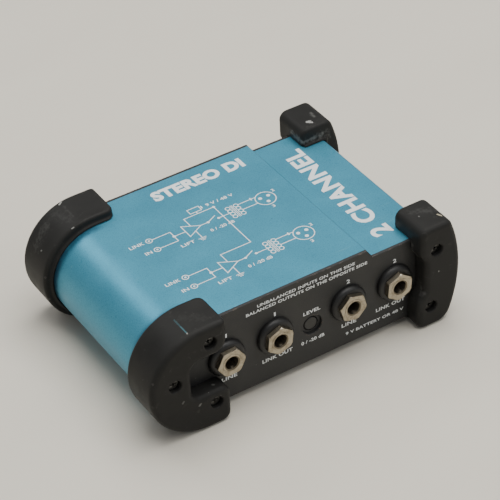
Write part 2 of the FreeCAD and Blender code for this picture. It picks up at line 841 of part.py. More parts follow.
def make_button(label, switch_label, x, side, cap_radius):
    """Round cap on a stem, and the board switch that it slides in. The switch has a guide ring
    behind the panel's hole, held on two cheeks."""
    height = cell("button_height")
    inward = {-1: "+Y", 1: "-Y"}[side]
    face = (half_depth - cell("button_recess")) * side
    cap_back = face - cell("button_cap") * side
    cap = rounded(rod((x, face, height), inward, cap_radius, cell("button_cap")), 0.6,
                  on_level(1, face))
    stem = rod((x, cap_back + side * 0.5, height), inward, 1.5, 9.5)
    keep(label, joined(cap, stem))
    near = cap_back - (cell("button_travel") + 0.2) * side
    half = cell("switch_half")
    low_z = cell("board_top")
    high_z = low_z + 8

    def slab(left, right, start, end):
        low_y, high_y = (start, end) if side < 0 else (end, start)
        return box((left, low_y, low_z), (right, high_y, high_z))
    block = slab(x - half, x + half, near, near - cell("switch_long") * side)
    channel = rod((x, near + side, height), inward, 1.55, 12)
    behind = inner_face * side
    ring = rod((x, behind, height), inward, cell("guide_radius"), cell("guide_thick"))
    opening = rod((x, behind + side, height), inward, cap_radius + 0.3, 8)
    cheeks = [slab(left, left + 1.05, behind - 0.5 * side, near - 0.5 * side)
              for left in (x - half, x + half - 1.05)]
    keep(switch_label, joined(cut(ring, opening), cut(block, channel), *cheeks))


def make_buttons():
    make_button("level_button", "level_switch", cell("level_x"), -1, cell("button_radius"))
    rear_radius = cell("button_radius") - 0.4
    make_button("ground_button", "ground_switch", cell("ground_x"), 1, rear_radius)
    make_button("power_button", "power_switch", cell("power_x"), 1, rear_radius)


def make_lamp():
    """Three-millimetre lamp on the rear panel, with its two leads down to the board."""
    x = (cell("ground_x") + cell("power_x")) / 2
    height = as_size(36.0)
    front = half_depth + 1.4
    body = rounded(rod((x, inner_face - 1.5, height), "+Y", 1.5, front - inner_face + 1.5), 1.4,
                   on_level(1, front))
    flange = rod((x, inner_face - 2.5, height), "+Y", 1.9, 1.5)
    keep("status_led", joined(body, flange))
    leads = []
    back = inner_face - 2.5
    for shift in (-1.27, 1.27):
        out = box((x + shift - 0.25, back - 3.0, height - 0.25),
                  (x + shift + 0.25, back, height + 0.25))
        down = box((x + shift - 0.25, back - 3.0, board_bottom - 1),
                   (x + shift + 0.25, back - 2.5, height + 0.25))
        leads.append(joined(out, down))
    group("led_leads", leads)


# Circuit board --------------------------------------------------------------------------------

def standoff_places():
    return [(x, side * 18.6) for x in (-16, 48) for side in (-1, 1)]


def make_board():
    """Board round the battery bay, with a tongue to the rear switches."""
    bay = cell("bay_wide") / 2 + cell("bay_wall") + 0.4
    outline = [
        (-50, -47), (58.6, -47), (58.6, 22.8), (20, 22.8), (20, 46.5), (-11, 46.5),
        (-11, 22.8), (-50, 22.8),
    ]
    window = rectangle(cell("bay_left") - cell("bay_wall") - 0.4, -bay,
                       cell("bay_right") + cell("bay_wall") + 0.4, bay)
    board = Piece("main_board").pad("XY_Plane", board_bottom, cell("board_top"), [outline])
    board.pocket("XY_Plane", cell("board_top"), board_bottom, [window])
    lamp_x = (cell("ground_x") + cell("power_x")) / 2
    lead_y = inner_face - 5.25
    holes = [(x, y, 1.4) for x, y in standoff_places()]
    holes += [(lamp_x + shift, lead_y, 0.45) for shift in (-1.27, 1.27)]
    board.pocket("XY_Plane", cell("board_top"), board_bottom, circles=holes)
    posts, screws = [], []
    for x, y in standoff_places():
        post = rod((x, y, floor_inside), "+Z", 2.75, board_bottom - floor_inside)
        posts.append(cut(post, rod((x, y, floor_inside + 4), "+Z", 1.3, 12)))
        screws.append(cross_screw(x, y, cell("board_top"), "-Z", 2.6, 1.6, 1.25, 7.0))
    group("board_standoffs", posts)
    group("board_screws", screws)


def make_components():
    """Amplifier chips, upright capacitors and flat resistors on the free part of the board."""
    top = cell("board_top")
    chips = [box((x - 4.8, y - 3.2, top + 0.6), (x + 4.8, y + 3.2, top + 4))
             for x, y in ((-30, -10), (-30, 6))]
    legs = [box((x + leg * 2.54 - 3.81 - 0.25, y + side * 3.8 - 0.4, top),
                (x + leg * 2.54 - 3.81 + 0.25, y + side * 3.8 + 0.4, top + 2.6))
            for x, y in ((-30, -10), (-30, 6)) for leg in range(4) for side in (-1, 1)]
    group("op_amps", chips)
    group("op_amp_legs", legs)
    cans = [rounded(rod((x, y, top), "+Z", 3.15, 11), 0.5, on_level(2, top + 11))
            for x, y in ((-44, -10), (-44, 0), (-44, 10), (-17, 0), (-17, -9), (-17, 9))]
    group("capacitors", cans)
    row_y = 12.5
    resistors = [rounded(rod((-36.5 + 4.2 * step, row_y, top + 1.3), "+Y", 1.15, 6.3), 0.5,
                         on_level(1, row_y))
                 for step in range(4)]
    group("resistors", resistors)


def lead(points, bend, radius):
    """Insulated wire: straight runs through the points, joined by arcs of the bend radius."""
    points = [FreeCAD.Vector(*[as_size(level).number for level in point]) for point in points]
    edges = []
    start = points[0]
    for index in range(1, len(points) - 1):
        corner = points[index]
        back = (points[index - 1] - corner).normalize()
        on = (points[index + 1] - corner).normalize()
        half_turn = (math.pi - back.getAngle(on)) / 2
        reach = bend * math.tan(half_turn)
        inward = (back + on).normalize()
        middle = corner + inward * (bend / math.cos(half_turn) - bend)
        arc = Part.Arc(corner + back * reach, middle, corner + on * reach)
        edges.append(Part.LineSegment(start, corner + back * reach).toShape())
        edges.append(arc.toShape())
        start = corner + on * reach
    edges.append(Part.LineSegment(start, points[-1]).toShape())
    path = Part.Wire(edges)
    ring = Part.Wire(Part.makeCircle(radius, points[0], points[1] - points[0]))
    solid = path.makePipeShell([ring], True, True)
    item = doc.addObject("Part::Feature", "Lead")
    item.Shape = solid
    volume = math.pi * radius ** 2 * path.Length
    if abs(solid.Volume / volume - 1) > 0.02:
        raise RuntimeError("a lead's volume differs from its section times its length")
    return item


def make_output_wires():
    """Wires from the output pins' tails down to the board's rear edge."""
    tail = half_depth + cell("flange_thick") - cell("cup_deep") - 5.6 - 4
    wires = []
    for x in output_x:
        for px, pz in pin_places(x):
            wires.append(lead([(px, tail, pz), (px, 20.5, pz), (px, 20.5, cell("board_top"))],
                              1.3, 0.6))
    group("output_wires", wires)


# Battery bay ----------------------------------------------------------------------------------

def make_battery():
    """Nine-volt battery lying in a tray that opens downwards, with its snap cap and door."""
    wide = cell("battery_wide") / 2
    left = cell("bay_left") + 3.6
    low = case_bottom + 3.0
    high = low + cell("battery_thick")
    left_face = left + 3.2
    battery = rounded(box((left_face, -wide, low), (left_face + cell("battery_long") - 3.2, wide,
                                                    high)),
                      2.0, lambda edge: runs_along(edge, 0))
    keep("battery", battery)
    middle = (low + high) / 2
    group("battery_terminals", [rod((left_face - 2.4, side * 6.35, middle), "+X", radius, 2.4)
                                for side, radius in ((-1, 2.8), (1, 3.3))])
    snap = rounded(box((left_face - 5.4, -12.3, middle - 7.2),
                       (left_face - 2.4, 12.3, middle + 7.2)),
                   1.0, lambda edge: runs_along(edge, 0))
    keep("battery_snap", snap)
    height = middle + 6.2
    make_tray(height)
    make_door(low)
    down_x = left_face - 10.4
    leads = [lead([(left_face - 5.4, side * 2, height), (down_x, side * 2, height),
                   (down_x, side * 2, cell("board_top"))], 1.0, 0.7) for side in (-1, 1)]
    group("battery_leads", leads)


def make_tray(lead_height):
    """Moulded box over the battery, open below, with lugs that hold the hinge pin."""
    wall = cell("bay_wall")
    half = cell("bay_wide") / 2
    left = cell("bay_left")
    right = cell("bay_right")
    roof = cell("bay_roof")
    outside = rectangle(left - wall, -(half + wall), right + wall, half + wall)
    inside = rectangle(left, -half, right + 0.3, half)
    tray = Piece("battery_tray").pad("XY_Plane", floor_inside, roof + wall, [outside])
    tray.pocket("XY_Plane", floor_inside, roof, [inside])
    pin_hole = [(cell("hinge_x"), cell("hinge_height"), cell("hinge_pin") + 0.05)]
    tray.pocket("XZ_Plane", -(half + wall), half + wall, circles=pin_hole)
    slot = [(side * 2, lead_height, 1.2) for side in (-1, 1)]
    tray.pocket("YZ_Plane", left, left - wall, circles=slot)


def make_door(battery_low):
    """Door flush with the bottom plate; it swings down about the pin at its right end."""
    half = cell("bay_wide") / 2 - 0.3
    left = cell("bay_left") + 0.3
    pin_x = cell("hinge_x")
    pin_z = cell("hinge_height")
    barrel = pin_z - case_bottom - 0.05
    plate = box((left, -half, case_bottom + 0.05), (pin_x, half, case_bottom + 1.45))
    knuckle = rod((pin_x, -half, pin_z), "+Y", barrel, half * 2)
    grip = box((left + 2, -6, case_bottom), (left + 4, 6, case_bottom + 0.6))
    bore = rod((pin_x, -half - 1, pin_z), "+Y", cell("hinge_pin") + 0.05, half * 2 + 2)
    keep("battery_door", cut(joined(plate, knuckle), bore, grip))
    pin = rod((pin_x, -(half + 1.7), pin_z), "+Y", cell("hinge_pin"), half * 2 + 3.4)
    keep("door_pin", pin)
    pad_top = battery_low - 0.1
    pad = rounded(box((left + 8, -9, case_bottom + 1.45), (pin_x - 8, 9, pad_top)), 0.6,
                  lambda edge: runs_along(edge, 2))
    keep("battery_pad", pad)


def check_all():
    """Stops before anything is written if a feature failed or a sub-part isn't a sound solid."""
    for item in doc.Objects:
        if "Invalid" in item.State or "Error" in item.State:
            raise RuntimeError(f"{item.Label} failed: {item.State}")
    for label, item in pieces.items():
        shape = item.Shape
        if shape.isNull() or not shape.isValid() or not shape.Solids:
            raise RuntimeError(f"{label} isn't a valid solid")


def main():
    make_top_shell()
    make_panels()
    make_base()
    make_brackets()
    make_bumpers()
    make_screws()
    make_jacks()
    make_outputs()
    make_buttons()
    make_lamp()
    make_board()
    make_components()
    make_output_wires()
    make_battery()
    doc.recompute()
    check_all()
    os.makedirs("parts", exist_ok=True)
    for label, item in pieces.items():
        item.Shape.exportStep(f"parts/{label}.step")
    print(f"{len(pieces)} sub-parts written")


main()
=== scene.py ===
import json
import math
import bmesh
import bpy
from mathutils import Matrix, Vector


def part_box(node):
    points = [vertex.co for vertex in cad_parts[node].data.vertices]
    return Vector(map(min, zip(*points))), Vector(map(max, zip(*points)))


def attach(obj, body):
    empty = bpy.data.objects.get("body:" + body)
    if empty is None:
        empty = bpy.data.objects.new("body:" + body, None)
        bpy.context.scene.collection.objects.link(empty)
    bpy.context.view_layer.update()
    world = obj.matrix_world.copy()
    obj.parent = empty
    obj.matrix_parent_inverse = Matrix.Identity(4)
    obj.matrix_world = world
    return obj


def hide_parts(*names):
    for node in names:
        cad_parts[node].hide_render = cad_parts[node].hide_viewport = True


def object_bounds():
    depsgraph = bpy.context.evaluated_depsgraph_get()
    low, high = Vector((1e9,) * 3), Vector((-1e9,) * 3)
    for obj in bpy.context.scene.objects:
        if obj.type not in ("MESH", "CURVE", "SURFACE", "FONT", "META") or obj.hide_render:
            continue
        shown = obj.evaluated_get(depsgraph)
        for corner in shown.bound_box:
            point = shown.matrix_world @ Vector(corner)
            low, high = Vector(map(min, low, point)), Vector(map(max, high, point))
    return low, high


# Looks of a stereo direct injection box. Everything is in metres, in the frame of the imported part:
# +X towards the end with the lowered top, +Y from the jack sockets to the three-pin outputs, +Z up.

MM = 0.001
X, Y, Z = Vector((1, 0, 0)), Vector((0, 1, 0)), Vector((0, 0, 1))

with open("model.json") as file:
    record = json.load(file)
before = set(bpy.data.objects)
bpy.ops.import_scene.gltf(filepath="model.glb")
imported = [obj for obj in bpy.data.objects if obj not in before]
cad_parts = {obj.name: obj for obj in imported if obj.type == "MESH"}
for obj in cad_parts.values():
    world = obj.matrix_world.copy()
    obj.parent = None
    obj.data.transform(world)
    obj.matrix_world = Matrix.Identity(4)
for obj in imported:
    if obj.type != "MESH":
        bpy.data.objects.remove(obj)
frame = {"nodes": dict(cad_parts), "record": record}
record = frame["record"]
cad_low, cad_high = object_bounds()

SHELL_LOW, SHELL_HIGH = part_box("top_shell")
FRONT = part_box("front_panel")[0].y
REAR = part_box("rear_panel")[1].y
HIGH_TOP = SHELL_HIGH.z
STEP_DROP = 4.6 * MM
LOW_TOP = HIGH_TOP - STEP_DROP
STEP_X = 36.5 * MM
MOUNTS = {mount["name"]: Vector(mount["pos_m"]) for mount in record["mounts"]}
SOCKETS = [MOUNTS[name] for name in ("input_socket_left", "link_socket_left",
                                     "input_socket_right", "link_socket_right")]
OUTPUTS = [MOUNTS["output_left_socket"], MOUNTS["output_right_socket"]]
BODY_OF = {node: body for body, nodes in record["behaviour"]["bodies"].items() for node in nodes}
SLOT_OF = {part["node"]: part["material_slot"] for part in record["subparts"]}


# Materials ------------------------------------------------------------------------------------
# Colours are linear red, green and blue.

def rgba(colour):
    """A colour of three numbers with its alpha added; a link to a colour stays as it is."""
    return (*colour, 1.0) if isinstance(colour, tuple) else colour


class Finish:
    """A node material painted in the part's own coordinates, from masks between 0 and 1."""

    def __init__(self, name, metallic=0.0, ior=1.5, specular=0.5):
        self.material = bpy.data.materials.new(name)
        self.material.use_nodes = True
        self.tree = self.material.node_tree
        self.shader = self.tree.nodes["Principled BSDF"]
        self.constant("Metallic", metallic)
        self.constant("IOR", ior)
        self.constant("Specular IOR Level", specular)
        self.place = self.tree.nodes.new("ShaderNodeTexCoord").outputs["Object"]
        self.height = None

    def constant(self, socket, value):
        """A number that is the same all over the surface, set on the shader itself."""
        self.shader.inputs[socket].default_value = value

    def node(self, kind, settings=None, **inputs):
        """A node with its inputs set to numbers or linked to other nodes' outputs."""
        made = self.tree.nodes.new(kind)
        for setting, value in (settings or {}).items():
            setattr(made, setting, value)
        for name, value in inputs.items():
            self.feed(made.inputs[name.replace("_", " ")], value)
        return made

    def feed(self, socket, value):
        if isinstance(value, bpy.types.NodeSocket):
            self.tree.links.new(value, socket)
        else:
            socket.default_value = value

    def calculate(self, operation, first, second=0.0):
        made = self.node("ShaderNodeMath", {"operation": operation})
        self.feed(made.inputs[0], first)
        self.feed(made.inputs[1], second)
        return made.outputs[0]

    def vector(self, operation, first, second=(0, 0, 0)):
        """A vector math node, whose result is a vector or a number."""
        made = self.node("ShaderNodeVectorMath", {"operation": operation})
        self.feed(made.inputs[0], first)
        self.feed(made.inputs[1], second)
        return made

    def stretched(self, stretch):
        """The part's coordinates, squeezed along each axis so that a pattern looks drawn out."""
        return self.node("ShaderNodeMapping", Vector=self.place, Scale=stretch).outputs[0]

    def noise(self, grain, detail=2.0, stretch=(1, 1, 1), rough=0.5, warp=0.0):
        """Soft random pattern whose features are about a grain across, in metres."""
        made = self.node("ShaderNodeTexNoise", Vector=self.stretched(stretch), Scale=1 / grain,
                         Detail=detail, Roughness=rough, Distortion=warp)
        return made.outputs["Fac"]

    def limits(self, value, low, high, start=0.0, end=1.0):
        """Start on low's side, end on high's side, and a smooth change between them. Low may be
        the larger of the two."""
        made = self.node("ShaderNodeMapRange", {"interpolation_type": "SMOOTHSTEP"}, Value=value,
                         From_Min=low, From_Max=high, To_Min=start, To_Max=end)
        return made.outputs["Result"]

    def specks(self, spacing, size, share):
        """Small round dots, in a share of the cells of a random pattern."""
        cells = self.node("ShaderNodeTexVoronoi", Vector=self.place, Scale=1 / spacing)
        edge = size / spacing
        near = self.limits(cells.outputs["Distance"], edge, 0.6 * edge)
        parted = self.node("ShaderNodeSeparateColor", Color=cells.outputs["Color"])
        chosen = self.calculate("LESS_THAN", parted.outputs[0], share)
        return self.calculate("MULTIPLY", near, chosen)

    def coordinate(self, axis):
        parted = self.node("ShaderNodeSeparateXYZ", Vector=self.place)
        return parted.outputs[axis]

    def mark(self, start, end, reach, core=0.45, ragged=0.5, grain=0.8 * MM):
        """A mark along the line from start to end, full within its core, a share of its reach, and
        fading out at its reach, with ragged edges."""
        along = end - start
        from_start = self.vector("SUBTRACT", self.place, start).outputs[0]
        shadow = self.vector("DOT_PRODUCT", from_start, along / along.length_squared)
        share = self.calculate("MAXIMUM", shadow.outputs["Value"], 0.0)
        share = self.calculate("MINIMUM", share, 1.0)
        foot = self.vector("SCALE", along)
        self.feed(foot.inputs["Scale"], share)
        gap = self.vector("DISTANCE", from_start, foot.outputs[0]).outputs["Value"]
        torn = self.calculate("MULTIPLY", self.noise(grain, 3.0), 2 * ragged * reach)
        edge = self.calculate("ADD", gap, torn)
        return self.limits(edge, (core + ragged) * reach, (1.0 + ragged) * reach, 1.0, 0.0)

    def colour(self, first, second, mask):
        """A colour that goes from first to second as the mask goes from 0 to 1."""
        made = self.node("ShaderNodeMix", {"data_type": "RGBA"}, Factor=mask)
        first_colour, second_colour = made.inputs[6:8]
        self.feed(first_colour, rgba(first))
        self.feed(second_colour, rgba(second))
        return made.outputs[2]

    def level(self, first, second, mask):
        """A number that goes from first to second as the mask goes from 0 to 1."""
        return self.limits(mask, 0.0, 1.0, first, second)

    def tinted(self, under, tint, mask, strength):
        """The colour under, mixed with a tint up to a strength where the mask is full."""
        return self.colour(under, tint, self.level(0.0, strength, mask))

    def relief(self, height, depth, strength):
        """Adds fine relief: the height pattern times a depth in metres."""
        made = self.node("ShaderNodeBump", Height=height, Distance=depth, Strength=strength)
        if self.height is not None:
            self.feed(made.inputs["Normal"], self.height)
        self.height = made.outputs["Normal"]

    def done(self, colour, roughness):
        self.feed(self.shader.inputs["Base Color"], rgba(colour))
        self.feed(self.shader.inputs["Roughness"], roughness)
        if self.height is not None:
            self.feed(self.shader.inputs["Normal"], self.height)
        return self.material


def painted_bumper_shade(paint, patches):
    """Painted shade on the wrap, on the round end beside the left bumpers, uneven in patches."""
    # The painted shade grows along X from the first of these places to the second, towards the round
    # end.
    clean, fully_shaded = SHELL_LOW.x + 32 * MM, SHELL_LOW.x + 20 * MM
    round_end = paint.limits(paint.coordinate(0), clean, fully_shaded)
    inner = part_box("bumper_rear_left")[0].y
    sideways = paint.calculate("ABSOLUTE", paint.coordinate(1))
    beside = paint.limits(sideways, inner - 6 * MM, inner)
    uneven = paint.limits(patches, 0.3, 0.6, 0.4, 1.0)
    return paint.calculate("MULTIPLY", paint.calculate("MULTIPLY", round_end, beside), uneven)


def blue_paint():
    """Satin teal paint over sheet metal, finely speckled, with a few dark specks and rubs, and
    painted shade beside the left bumpers."""
    teal, pale_teal = (0.066, 0.290, 0.420), (0.083, 0.330, 0.466)
    light_speckle, dark_speckle = (0.120, 0.400, 0.520), (0.010, 0.120, 0.190)
    # The last colour on this line is the painted shade beside the left bumpers.
    soot, rubbed, bumper_shade_tint = (0.035, 0.045, 0.045), (0.190, 0.430, 0.510), (0.018, 0.048, 0.095)
    paint = Finish("blue_paint", metallic=0.50, ior=1.45, specular=0.12)
    mottle = paint.noise(16 * MM, 3.0, rough=0.6)
    grain = paint.noise(0.55 * MM, 3.0, rough=0.75)
    hue = paint.colour(teal, pale_teal, mottle)
    hue = paint.colour(hue, light_speckle, paint.limits(grain, 0.50, 0.76, 0.0, 0.65))
    hue = paint.colour(hue, dark_speckle, paint.limits(grain, 0.48, 0.26, 0.0, 0.60))
    hue = paint.tinted(hue, soot, paint.specks(7 * MM, 0.32 * MM, 0.16), 0.75)
    rubs = paint.noise(3.2 * MM, 4.0, stretch=(0.18, 1.6, 1.0), warp=0.4)
    hue = paint.tinted(hue, rubbed, paint.limits(rubs, 0.66, 0.74), 0.22)
    # Painted shade: the blue darkened beside the left bumpers on the round end.
    hue = paint.tinted(hue, bumper_shade_tint, painted_bumper_shade(paint, mottle), 0.85)
    paint.relief(paint.noise(0.45 * MM, 3.0), 0.02 * MM, 0.55)
    paint.relief(paint.noise(9 * MM, 1.0), 0.05 * MM, 0.25)
    return paint.done(hue, paint.limits(mottle, 0.3, 0.7, 0.35, 0.42))


def black_paint(name, chipped):
    """Charcoal powder coat with dust in its texture; on edges it is chipped to brown primer."""
    charcoal, pale_charcoal = (0.0145, 0.0150, 0.0152), (0.0250, 0.0255, 0.0255)
    texture, dust = (0.070, 0.070, 0.068), (0.300, 0.295, 0.280)
    primer, pale_primer = (0.150, 0.085, 0.055), (0.300, 0.235, 0.190)
    paint = Finish(name, specular=0.40)
    cloud = paint.noise(11 * MM, 3.0, rough=0.6)
    grain = paint.noise(0.38 * MM, 2.0, rough=0.7)
    hue = paint.colour(charcoal, pale_charcoal, cloud)
    hue = paint.colour(hue, texture, paint.limits(grain, 0.56, 0.80, 0.0, 0.45))
    hue = paint.tinted(hue, dust, paint.specks(5 * MM, 0.22 * MM, 0.30), 0.40)
    if chipped:
        flakes = paint.noise(1.5 * MM, 4.0, stretch=(0.45, 1, 1), rough=0.7)
        bare = paint.colour(primer, pale_primer, grain)
        hue = paint.tinted(hue, bare, paint.limits(flakes, 0.52, 0.57), 0.80)
    paint.relief(grain, 0.03 * MM, 0.6)
    return paint.done(hue, paint.limits(cloud, 0.3, 0.7, 0.44, 0.56))


def in_metres(marks):
    """Marks whose start, end and reach are in millimetres, with those in metres."""
    return [(Vector(start) * MM, Vector(end) * MM, reach * MM, *rest)
            for start, end, reach, *rest in marks]


def bumper_chips():
    """Chips in the bumpers where they were knocked: start, end, reach, tint and strength."""
    top, face = cad_high.z / MM, cad_low.y / MM
    blue, white, cream = (0.10, 0.30, 0.36), (0.50, 0.50, 0.47), (0.56, 0.50, 0.36)
    return in_metres((
        ((-60.1, -45.5, 55.6), (-60.1, -55.4, 55.6), 0.50, blue, 0.15),
        ((-60.1, -51.0, 55.6), (-60.1, -56.0, 55.6), 0.40, blue, 0.22),
        ((-60.1, -56.2, 55.6), (-60.1, -56.6, 55.4), 0.50, white, 0.40),
        ((-66.7, face, 21.2), (-66.2, face, 21.9), 0.6, white, 0.14),
        ((-58.6, face, 15.7), (-58.0, face, 16.3), 0.7, white, 0.22),
        ((-48.8, -54.6, 19.4), (-48.4, -54.9, 19.4), 0.7, white, 0.14),
        ((74.3, -52.0, top), (75.0, -53.6, top), 0.70, cream, 0.60),
        ((66.5, -48.2, top), (66.5, -48.4, top), 0.5, white, 0.20),
        ((69.6, face, 30.5), (69.6, face, 30.7), 0.45, white, 0.40),
        ((-59.6, 57.4, 55.6), (-61.0, 56.6, 55.3), 0.6, white, 0.70),
        ((-64.3, 38.7, 54.2), (-63.4, 38.6, 54.5), 0.45, white, 0.40),
        ((-77.8, 45.9, 42.8), (-77.6, 45.6, 43.2), 0.5, white, 0.30),
        ((66.8, 43.4, top), (68.4, 41.8, top), 1.00, white, 0.60),
        ((67.9, 43.6, top), (68.6, 43.2, top), 0.60, white, 0.45),
    ))


def bumper_scuffs():
    """Dull dusty patches on the bumpers: start, end, reach and strength of each."""
    top = cad_high.z / MM
    return in_metres((
        ((-71.0, 52.0, 50.5), (-77.9, 50.5, 42.4), 5.0, 0.14),
        ((-66.0, 55.0, 54.0), (-62.0, 44.0, 55.0), 4.0, 0.07),
        ((-60.1, 55.0, 55.6), (-60.1, 44.0, 55.6), 1.0, 0.10),
        ((-58.0, -46.0, 55.6), (-50.0, -52.0, 56.0), 4.5, 0.05),
        ((72.1, 48.4, top), (72.3, 44.8, top), 1.6, 0.45),
        ((60.0, 47.0, 51.0), (60.0, 38.6, 50.3), 2.6, 0.80),
        ((61.5, 37.8, 50.0), (71.5, 37.8, 50.6), 2.6, 0.75),
        ((74.5, 38.5, 47.0), (74.2, 39.0, 52.0), 2.6, 0.60),
        ((66.0, -44.0, top), (74.0, -48.0, top), 3.5, 0.12),
        ((62.0, -57.0, 20.0), (60.0, -50.0, 30.0), 3.0, 0.30),
        ((60.3, -52.0, 46.0), (60.3, -53.0, 24.0), 2.0, 0.40),
    ))


def rubber():
    """Satin moulded rubber, dusty, with a painted highlight along its sharp edges, scuffed and
    chipped.
    """
    black, pale_black = (0.0165, 0.0163, 0.0154), (0.0290, 0.0286, 0.0272)
    # The second colour on the next line is the painted highlight along the sharp edges.
    haze, worn = (0.085, 0.082, 0.076), (0.075, 0.073, 0.069)
    lint, scuff = (0.36, 0.35, 0.33), (0.17, 0.17, 0.16)
    skin = Finish("rubber_black", ior=1.48, specular=0.10)
    cloud = skin.noise(13 * MM, 4.0, rough=0.62)
    grain = skin.noise(0.30 * MM, 2.0, rough=0.6)
    hue = skin.colour(black, pale_black, cloud)
    bloom = skin.noise(5.5 * MM, 5.0, rough=0.7, warp=0.6)
    hue = skin.tinted(hue, haze, skin.limits(bloom, 0.56, 0.74), 0.22)
    # Painted highlight: sharp edges, found by pointiness, are lightened in patches in place of the
    # sheen on the rounded rims.
    edge = skin.limits(skin.node("ShaderNodeNewGeometry").outputs["Pointiness"], 0.515, 0.58)
    rubbed = skin.calculate("MULTIPLY", edge, skin.limits(cloud, 0.3, 0.6))
    hue = skin.tinted(hue, worn, rubbed, 0.60)
    hue = skin.tinted(hue, lint, skin.specks(6 * MM, 0.20 * MM, 0.22), 0.40)
    for start, end, reach, tint, strength in bumper_chips():
        hue = skin.tinted(hue, tint, skin.mark(start, end, reach), strength)
    for start, end, reach, strength in bumper_scuffs():
        patch = skin.mark(start, end, reach, core=-0.5, ragged=1.2, grain=1.6 * MM)
        hue = skin.tinted(hue, scuff, patch, strength)
    skin.relief(grain, 0.02 * MM, 0.5)
    skin.relief(skin.noise(4 * MM, 2.0), 0.06 * MM, 0.22)
    return skin.done(hue, skin.limits(cloud, 0.32, 0.70, 0.40, 0.54))


def plated(name, tint, dark, rough):
    """Plated metal with fine tool marks, slightly tarnished in patches."""
    metal = Finish(name, metallic=1.0)
    patch = metal.noise(2.6 * MM, 4.0, rough=0.65)
    tool_marks = metal.noise(0.16 * MM, 2.0, stretch=(1.0, 1.0, 0.12))
    hue = metal.colour(dark, tint, metal.limits(patch, 0.30, 0.60))
    metal.relief(tool_marks, 0.008 * MM, 0.35)
    metal.relief(metal.noise(0.8 * MM, 3.0), 0.01 * MM, 0.3)
    return metal.done(hue, metal.limits(patch, 0.25, 0.75, rough + 0.10, rough))


def barrel_metal():
    """Threaded nickel, darker inside the bore of each socket."""
    nickel, tarnish, shaded = (0.42, 0.37, 0.285), (0.26, 0.225, 0.165), (0.150, 0.130, 0.095)
    bore, rim = 3.78 * MM, 3.95 * MM
    pitch = 0.8 * MM
    metal = Finish("barrel_metal", metallic=1.0)
    patch = metal.noise(2.6 * MM, 4.0, rough=0.65)
    hue = metal.colour(tarnish, nickel, metal.limits(patch, 0.30, 0.60))
    nearest = None
    for socket in SOCKETS:
        offset = metal.vector("SUBTRACT", metal.place, socket).outputs[0]
        across = metal.vector("MULTIPLY", offset, X + Z).outputs[0]
        gap = metal.vector("LENGTH", across).outputs["Value"]
        nearest = gap if nearest is None else metal.calculate("MINIMUM", nearest, gap)
    hue = metal.colour(hue, shaded, metal.limits(nearest, bore, rim, 1.0, 0.0))
    rounds = {"wave_type": "BANDS", "bands_direction": "Y"}
    thread = metal.node("ShaderNodeTexWave", rounds, Vector=metal.place,
                        Scale=math.pi / 10 / pitch)
    metal.relief(thread.outputs["Fac"], 0.2 * MM, 0.8)
    return metal.done(hue, metal.limits(patch, 0.25, 0.75, 0.40, 0.28))


def plastic(name, tint, rough, gloss=0.0):
    """Moulded plastic: fine grain from the mould, a slightly uneven shade and some dust."""
    darker = tuple(0.72 * part for part in tint)
    lighter = tuple(min(1.0, 0.5 * part + 0.12) for part in tint)
    moulded = Finish(name)
    cloud = moulded.noise(6 * MM, 3.0, rough=0.6)
    hue = moulded.colour(darker, tint, moulded.limits(cloud, 0.25, 0.75))
    hue = moulded.tinted(hue, lighter, moulded.specks(4 * MM, 0.15 * MM, 0.20), 0.5)
    moulded.relief(moulded.noise(0.25 * MM, 2.0), 0.012 * MM, 0.5)
    moulded.constant("Coat Weight", gloss)
    moulded.constant("Coat Roughness", 0.1)
    return moulded.done(hue, moulded.limits(cloud, 0.3, 0.7, rough, rough + 0.08))


def foam():
    """Charcoal open-celled foam."""
    hollow, wall, dusty = (0.008, 0.008, 0.009), (0.060, 0.060, 0.064), (0.110, 0.108, 0.104)
    cell = 0.55 * MM
    sponge = Finish("foam")
    cells = sponge.node("ShaderNodeTexVoronoi", Vector=sponge.place, Scale=1 / cell)
    open_cell = sponge.limits(cells.outputs["Distance"], 0.10, 0.50)
    hue = sponge.colour(hollow, wall, open_cell)
    hue = sponge.tinted(hue, dusty, sponge.noise(3 * MM), 0.5)
    sponge.relief(open_cell, 0.25 * MM, 0.9)
    return sponge.done(hue, 0.95)


def circuit_board():
    """Green solder mask over copper tracks, with tinned pads."""
    mask, over_copper, tin = (0.008, 0.060, 0.028), (0.020, 0.125, 0.055), (0.52, 0.52, 0.50)
    track_scale = 90.0
    board = Finish("circuit_board")
    ways = {"wave_type": "BANDS", "bands_direction": "X"}
    tracks = board.node("ShaderNodeTexWave", ways, Vector=board.place, Scale=track_scale,
                        Distortion=6.0, Detail=1.0, Detail_Scale=0.6)
    copper = board.limits(tracks.outputs["Fac"], 0.52, 0.60)
    hue = board.colour(mask, over_copper, copper)
    pads = board.specks(3.2 * MM, 0.7 * MM, 0.35)
    hue = board.colour(hue, tin, pads)
    board.relief(copper, 0.035 * MM, 0.8)
    return board.done(hue, board.level(0.32, 0.22, pads))


def battery_wrap():
    """A dark printed sleeve with a copper-coloured end."""
    sleeve, copper, bare = (0.014, 0.014, 0.016), (0.360, 0.170, 0.075), (0.200, 0.190, 0.180)
    dark_share, blur = 0.70, 0.1 * MM
    wrap = Finish("battery_wrap", metallic=0.4)
    low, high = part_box("battery")
    join = low.x + dark_share * (high.x - low.x)
    hue = wrap.colour(sleeve, copper, wrap.limits(wrap.coordinate(0), join - blur, join + blur))
    rub = wrap.limits(wrap.noise(2.0 * MM, 4.0, stretch=(0.3, 1, 1)), 0.58, 0.72)
    hue = wrap.tinted(hue, bare, rub, 0.30)
    return wrap.done(hue, wrap.level(0.34, 0.50, rub))


# Pieces ---------------------------------------------------------------------------------------

WELD_WITHIN = 0.002 * MM
FLAT_WITHIN = math.radians(0.5)
SHARP = math.radians(32)


